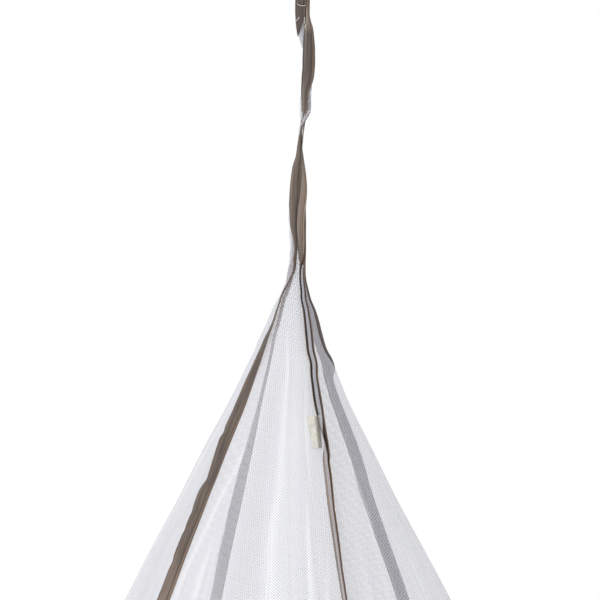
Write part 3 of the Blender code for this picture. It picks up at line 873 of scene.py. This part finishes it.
def seam_tape(name, seed, fold_at_tip=True):
    """One folded satin tape, from the strap's top down its seam to the hem."""
    sections = []
    alongs = []
    length = 0.0
    before = None
    for drop in row_drops():
        root, tip, bulge, opened = tape_line(name, drop)
        along = (tip - root) / max(np.linalg.norm(tip - root), NARROWEST)
        drawn_in = sum(far * math.exp(-((drop - where) / over) ** 2) for where, far, over in TUCKS[name])
        tip = tip - along * (drawn_in - 0.3 * waver(drop, seed))
        bulge += 0.35 * waver(drop, seed + 5)
        here = np.append((root + tip) / 2, drop)
        if before is not None:
            length += np.linalg.norm(here - before)
        before = here
        outline, flat = tape_section(root, tip, bulge, opened, FOLD_GAP, fold_at_tip)
        sections.append((outline, flat, drop))
        alongs.append(length)
    piece = closed_loft(name + "_tape", sections, alongs, PAINTED_SATIN_LIGHT[name], SATIN)
    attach(piece, "root")
    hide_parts(name)


# ---------------------------------------------------------------- gathered edges of netting in the strap

EDGE_COLUMNS = 9
EDGE_CLOTH = 0.012        # metres across a strip's mesh
EDGE_PLACE = 0.35         # the drop that gives a strip its density, in metres

# Bits of the gores' edges that show between the tapes: drop, left, right, y in front, ruffle.
EDGES = {
    "net_edge_top": ((80, 1.2, 2.4, -3.2, 0.1), (88, -1.4, 2.0, -4.2, 0.3), (98, -4.8, 1.5, -4.2, 0.6),
                     (104, -5.4, 1.2, -4.2, 0.6), (110, -4.0, 0.9, -4.2, 0.4), (118, -1.4, 0.3, -4.2, 0.1)),
    "net_edge_left": ((172, -2.0, -1.2, -4.6, 0.2), (180, -3.8, -0.8, -4.2, 0.6),
                      (189, -4.3, -0.4, -3.8, 0.8), (198, -3.9, 0.2, -3.4, 0.6),
                      (205, -2.6, -0.4, -3.2, 0.2)),
    "net_edge_right": ((160, 9.2, 10.2, -3.6, 0.1), (168, 7.0, 9.6, -4.0, 0.6), (178, 5.4, 9.8, -3.8, 0.9),
                       (188, 4.8, 9.6, -3.6, 0.8), (196, 4.2, 7.0, -3.4, 0.2)),
    "net_edge_twist": ((192, 6.4, 9.6, -4.4, 0.1), (198, 3.4, 6.6, -6.6, 0.2), (203, 0.4, 3.4, -7.4, 0.2),
                       (208, -2.6, -0.2, -7.6, 0.2), (213, -5.0, -2.8, -7.4, 0.1),
                       (222, -5.6, -4.0, -6.8, 0.0)),
    "net_edge_collar": ((292, -16.4, -12.0, -3.0, 0.1), (306, -17.0, -13.0, -3.2, 0.3),
                        (318, -17.2, -13.0, -3.4, 0.4), (330, -17.0, -12.0, -3.6, 0.5),
                        (342, -16.4, -10.6, -3.8, 0.5), (354, -15.6, -9.4, -4.0, 0.5),
                        (366, -15.8, -8.6, -4.0, 0.4), (376, -16.8, -10.0, -3.4, 0.2)),
}


def net_edge(name, rows):
    """A small crumpled strip of a gore's gathered edge."""
    left, right, front, ruffle = (smooth_curve([row[0] for row in rows], [row[k] for row in rows])
                                  for k in (1, 2, 3, 4))
    drops = np.arange(rows[0][0], rows[-1][0] + 0.1, 1.0)
    share = np.linspace(0, 1, EDGE_COLUMNS)
    points = []
    weave = []
    for drop in drops:
        x = left(drop) + (right(drop) - left(drop)) * share
        wave = np.sin(share * 9 + drop / 3.7) + 0.6 * np.sin(share * 17 - drop / 2.3)
        x = x + ruffle(drop) * 0.5 * np.sin(drop / 2.9 + share * 5)
        points.append(np.column_stack([x, front(drop) + ruffle(drop) * wave * 0.8, np.full_like(x, -drop)]))
        weave.append(np.column_stack([share * EDGE_CLOTH, np.full_like(x, drop * MM)]))
    place = np.tile(np.column_stack([share * 0.05, np.full_like(share, EDGE_PLACE)]), (len(drops), 1))
    maps = {"weave": weave, "place": place, "doubled_and_ridge_light": place * 0}
    piece = make_piece(name, points, grid_faces(len(drops), EDGE_COLUMNS), maps, NETTING)
    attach(piece, "root")


ALLOWANCE_TOP = 374
ALLOWANCE_COLUMNS = 7
ALLOWANCE_MOVES = (556, 592)    # from between the legs to the tape's face, beside the label


def centre_allowance():
    """The gores' raw edges in the centre front tape: between its open legs, and on it below the label."""
    drops = [drop for drop in row_drops() if drop > ALLOWANCE_TOP]
    share = np.linspace(0, 1, ALLOWANCE_COLUMNS)
    points = []
    weave = []
    place = []
    for drop in drops:
        root, tip, _, opened = tape_line("binding_centre_front", drop)
        along = (tip - root) / np.linalg.norm(tip - root)
        across = np.array([-along[1], along[0]])
        lower = eased(*ALLOWANCE_MOVES, drop)
        left = (tip + along * 1.5 - across * 0.5 * opened) * (1 - lower)
        left = left + (root + (tip - root) * 0.64 - across * (opened + 1.5)) * lower
        right = (tip + along * 1.5 + across * 0.42 * opened) * (1 - lower)
        right = right + (root + (tip - root) * 0.98 - across * (opened * 0.5 + 1.5)) * lower
        line = left + np.outer(share, right - left)
        line[:, 1] += 0.25 * np.sin(share * 7 + drop / 5)
        points.append(np.column_stack([line, np.full_like(share, -drop)]))
        weave.append(np.column_stack([share * EDGE_CLOTH, np.full_like(share, drop * MM)]))
        place.append(np.column_stack([share * 0.05, np.full_like(share, 0.30 + 0.12 * lower)]))
    maps = {"weave": weave, "place": place, "doubled_and_ridge_light": np.vstack(place) * 0}
    faces = grid_faces(len(drops), ALLOWANCE_COLUMNS)
    piece = make_piece("net_centre_allowance", points, faces, maps, NETTING)
    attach(piece, "root")


# ---------------------------------------------------------------- hanging loop and label

# The loop's band, from the slanted end in front, over the crown, to the end behind.
LOOP = (
    # drop, left, right, y, bulge
    (103.5, -6.6, -5.8, -5.4, 0.0),
    (99,    -7.4, -4.2, -5.5, 0.2),
    (94,    -8.1, -2.4, -5.6, 0.3),
    (88,    -8.8, -0.3, -5.7, 0.4),
    (81.6,  -9.3, 1.9,  -5.8, 0.6),
    (74,    -9.6, 2.3,  -5.8, 0.7),
    (66,    -9.6, 2.4,  -5.8, 0.6),
    (58,    -9.3, 2.6,  -6.0, 0.6),
    (50,    -8.6, 3.4,  -6.6, 0.5),
    (40,    -7.6, 4.6,  -7.4, 0.4),
    (26,    -6.8, 5.8,  -8.0, 0.3),
    (12,    -6.5, 6.4,  -6.6, 0.3),
    (2.6,   -6.5, 6.5,  -3.6, 0.3),
    (-0.4,  -6.5, 6.5,  0.0,  0.3),
    (2.6,   -6.5, 6.5,  3.6,  0.3),
    (12,    -6.5, 6.5,  6.6,  0.3),
    (26,    -6.4, 6.4,  7.8,  0.3),
    (40,    -6.0, 6.4,  7.2,  0.4),
    (52,    -5.6, 6.6,  6.7,  0.4),
    (66,    -5.4, 6.6,  6.6,  0.4),
    (82,    -5.2, 6.4,  6.6,  0.4),
)
LOOP_OVERLAP = (
    (66.5, -7.2, 3.4, -7.2, 0.7),
    (62,   -7.4, 3.2, -7.3, 0.9),
    (56,   -7.6, 3.2, -7.4, 0.6),
    (48,   -7.4, 3.8, -8.0, 0.4),
    (38,   -6.8, 4.6, -8.6, 0.3),
)
LOOP_CLOTH = 0.9
BAND_COLUMNS = 11
BAND_STEP = 1.5           # between rows along a band
BAND_SMOOTHING = 3


def band(name, rows, material, cloth, crumple):
    """A flat band through rows of (drop, left, right, y, bulge), with cloth of this thickness."""
    rows = np.array(rows, dtype=float)
    steps = np.concatenate([[0], np.cumsum(np.hypot(np.diff(rows[:, 0]), np.diff(rows[:, 3])))])
    fine = np.linspace(0, steps[-1], int(steps[-1] / BAND_STEP) + 1)
    columns = [np.interp(fine, steps, rows[:, k]) for k in range(5)]
    for _ in range(BAND_SMOOTHING):
        columns = [np.concatenate([c[:1], (c[:-2] + 2 * c[1:-1] + c[2:]) / 4, c[-1:]]) for c in columns]
    drop, left, right, y, bulge = columns
    ahead = np.stack([np.gradient(y), np.gradient(-drop)], axis=1)
    ahead /= np.linalg.norm(ahead, axis=1)[:, None]
    out_y, out_z = -ahead[:, 1], ahead[:, 0]
    share = np.linspace(0, 1, BAND_COLUMNS)
    points = []
    weave = []
    for i in range(len(fine)):
        x = left[i] + (right[i] - left[i]) * share
        lift = bulge[i] * 4 * share * (1 - share) + crumple * np.sin(share * 8 + fine[i] / 2.6) * 0.4
        lift = lift + crumple * 0.3 * np.sin(share * 15 - fine[i] / 1.7)
        for side in (0.5, -0.5):
            away = lift + side * cloth
            part = np.column_stack([x, y[i] + out_y[i] * away, -drop[i] + out_z[i] * away])
            points.append(part if side > 0 else part[::-1])
            across = share if side > 0 else share[::-1]
            weave.append(np.column_stack([across * TAPE_WIDTH * MM, np.full(len(share), fine[i] * MM)]))
    count = 2 * len(share)
    # The loop's tone map holds its painted shade.
    maps = {"weave": weave, "tone": [(LOOP_PAINTED_SHADE, 0)] * (len(fine) * count)}
    piece = make_piece(name, points, capped_faces(len(fine), count), maps, material)
    return piece, steps[-1]


def hanging_loop():
    """The loop's band over the strap's top, and its turned-over end."""
    piece, length = band("hanging_loop_band", LOOP, SATIN, LOOP_CLOTH, 0.25)
    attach(piece, "root")
    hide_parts("hanging_loop")
    over, length = band("hanging_loop_overlap", LOOP_OVERLAP, SATIN, LOOP_CLOTH, 0.9)
    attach(over, "root")


THREAD_RADIUS = 0.42
THREAD_SIDES = 8
THREAD_STEPS = 8          # between two points of a route
THREAD_SMOOTHING = 4


def tube(name, route, radius):
    """A thin round thread along a route, closed at both ends."""
    route = np.array(route, dtype=float)
    fine = np.linspace(0, len(route) - 1, THREAD_STEPS * (len(route) - 1) + 1)
    line = np.stack([np.interp(fine, range(len(route)), route[:, k]) for k in range(3)], axis=1)
    for _ in range(THREAD_SMOOTHING):
        line[1:-1] = (line[:-2] + 2 * line[1:-1] + line[2:]) / 4
    ahead = np.gradient(line, axis=0)
    ahead /= np.linalg.norm(ahead, axis=1)[:, None]
    side = np.cross(ahead, (0, 1, 0))
    side /= np.linalg.norm(side, axis=1)[:, None]
    up = np.cross(ahead, side)
    angles = np.linspace(0, 2 * math.pi, THREAD_SIDES, endpoint=False)
    cosines, sines = np.cos(angles), np.sin(angles)
    ring = np.concatenate([line[i] + radius * (np.outer(cosines, side[i]) + np.outer(sines, up[i]))
                           for i in range(len(line))])
    faces = grid_faces(len(line), THREAD_SIDES, closed=True)
    faces.append(tuple(range(THREAD_SIDES - 1, -1, -1)))
    faces.append(tuple(range(len(ring) - THREAD_SIDES, len(ring))))
    turn = np.tile(angles / (2 * math.pi), len(line))
    weave = np.column_stack([turn, np.repeat(fine * 0.002, THREAD_SIDES)])
    return make_piece(name, ring, faces, {"weave": weave}, THREAD)


STITCHES = {
    # x, y, z along each pale stitch
    "loop_hem_stitching": ((-7.0, -8.6, -64.6), (-5.6, -8.9, -66.0), (-2.4, -9.1, -67.0), (0.4, -9.0, -67.2),
                           (3.2, -8.6, -66.6)),
    "loop_thread_tail": ((-9.2, -6.6, -86.4), (-8.2, -7.0, -85.2), (-5.8, -7.2, -82.6), (-4.4, -7.0, -80.6)),
    "strap_stitch_upper": ((2.2, -6.4, -80.6), (2.0, -6.6, -84.0), (1.8, -6.4, -88.0)),
    "strap_stitch_lower": ((3.4, -7.0, -88.8), (3.0, -7.3, -91.4), (2.6, -7.0, -94.0)),
}


def pale_stitches():
    """The pale stitches on the loop and the strap, and the tail of a thread."""
    for name, route in STITCHES.items():
        piece = tube(name, route, THREAD_RADIUS)
        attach(piece, "root")


LABEL_ROWS = 26
LABEL_COLUMNS = 14
LABEL_DROPS = (558.5, 596.5)
LABEL_LEFT = (4.4, 11.4)        # x of its left and right edges, at its top and bottom
LABEL_RIGHT = (19.4, 22.6)
LABEL_CREST = 0.62              # where its ridge lies across it
LABEL_RIDGE = 7.0
LABEL_LAYERS = 0.9              # between its two layers
LABEL_SEAM = 24.0               # azimuth of the netting behind it
LABEL_AWAY = 5.0


def side_label():
    """The small bare label: two layers folded at its outer edge, caught beside the centre front seam."""
    points = []
    weave = []
    for i in range(LABEL_ROWS + 1):
        down = i / LABEL_ROWS
        drop, left, right = (ends[0] + (ends[1] - ends[0]) * down
                             for ends in (LABEL_DROPS, LABEL_LEFT, LABEL_RIGHT))
        shares = np.linspace(0, 1, LABEL_COLUMNS)
        x = left + (right - left) * shares
        fold = np.minimum(shares / LABEL_CREST, (1 - shares) / (1 - LABEL_CREST))
        ridge = LABEL_RIDGE * np.clip(fold, 0, 1) ** 1.4
        base_y = net_points(np.array([LABEL_SEAM]), drop)[0][1] - LABEL_AWAY
        y = base_y - ridge - 0.8 * down * (1 - shares)
        tilt = 1.6 * (1 - shares) * (1 - down) - 1.0 * shares * (1 - down) + 0.8 * (1 - shares) * down
        front = np.column_stack([x, y, -(drop + tilt)])
        back = np.column_stack([x, y + LABEL_LAYERS, -(drop + tilt)])[::-1]
        points.append(np.concatenate([front, back]))
        weave.append(np.column_stack([np.concatenate([shares, 2 - shares[::-1]]) * 0.014,
                                      np.full(2 * LABEL_COLUMNS, drop * MM)]))
    faces = capped_faces(LABEL_ROWS + 1, 2 * LABEL_COLUMNS)
    piece = make_piece("side_label_cloth", points, faces, {"weave": weave}, LABEL_CLOTH)
    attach(piece, "root")
    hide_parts("side_label")


# ---------------------------------------------------------------- studio

VIEW_WIDTH = 0.72         # metres across the view
VIEW_CENTRE = (-0.0036, -0.42)
CAMERA_AWAY = 20
AMBIENT = 0.68            # how bright the surroundings are as a light
LIT_POINT = (0, 0, -0.7)
FLOOR_HALF = 20
FLOOR_BELOW = 0.004       # under the hem


def camera():
    """A long lens straight in front."""
    data = bpy.data.cameras.new("camera")
    data.sensor_width = 36
    data.lens = data.sensor_width * CAMERA_AWAY / VIEW_WIDTH
    data.clip_end = 200
    view = bpy.data.objects.new("camera", data)
    view.location = (VIEW_CENTRE[0], -CAMERA_AWAY, VIEW_CENTRE[1])
    view.rotation_euler = (math.pi / 2, 0, 0)
    bpy.context.scene.collection.objects.link(view)
    bpy.context.scene.camera = view


def soft_light(name, where, size, power):
    """A round soft light turned to the net."""
    data = bpy.data.lights.new(name, "AREA")
    data.shape = "DISK"
    data.size = size
    data.energy = power
    light = bpy.data.objects.new(name, data)
    light.location = where
    light.rotation_euler = (Vector(LIT_POINT) - Vector(where)).to_track_quat("-Z", "Y").to_euler()
    bpy.context.scene.collection.objects.link(light)


def surroundings():
    """White surroundings: bright to look at, softer as a light."""
    world = bpy.data.worlds.new("studio")
    bpy.context.scene.world = world
    world.use_nodes = True
    nodes, links = world.node_tree.nodes, world.node_tree.links
    seen = nodes["Background"]
    seen.inputs["Color"].default_value = (1, 1, 1, 1)
    seen.inputs["Strength"].default_value = 1.0
    lit = nodes.new("ShaderNodeBackground")
    lit.inputs["Strength"].default_value = AMBIENT
    lit.inputs["Color"].default_value = (0.98, 0.99, 1.0, 1)
    path = nodes.new("ShaderNodeLightPath")
    mix = nodes.new("ShaderNodeMixShader")
    links.new(path.outputs["Is Camera Ray"], mix.inputs[0])
    links.new(lit.outputs[0], mix.inputs[1])
    links.new(seen.outputs[0], mix.inputs[2])
    links.new(mix.outputs[0], nodes["World Output"].inputs[0])


def floor():
    """A level floor just under the hem."""
    mesh = bpy.data.meshes.new("floor")
    level = CAD_BOX[0].z - FLOOR_BELOW
    corners = [(x * FLOOR_HALF, y * FLOOR_HALF, level) for x, y in ((-1, -1), (1, -1), (1, 1), (-1, 1))]
    mesh.from_pydata(corners, [], [(0, 1, 2, 3)])
    mesh.materials.append(floor_material())
    piece = bpy.data.objects.new("floor", mesh)
    bpy.context.scene.collection.objects.link(piece)


camera()
surroundings()
floor()
soft_light("window_left", (-3.4, -3.8, 1.0), 3.0, 118)
bpy.context.scene.view_settings.view_transform = "Standard"
bpy.context.scene.cycles.transparent_max_bounces = 32

for gore_name in GORES:
    gore(gore_name)
seam_tape("binding_left_front", 0.4)
seam_tape("binding_centre_front", 1.7, fold_at_tip=False)
seam_tape("binding_right_back", 2.9)
seam_tape("binding_left_back", 4.2)
for edge_name, edge_rows in EDGES.items():
    net_edge(edge_name, edge_rows)
centre_allowance()
hanging_loop()
pale_stitches()
side_label()
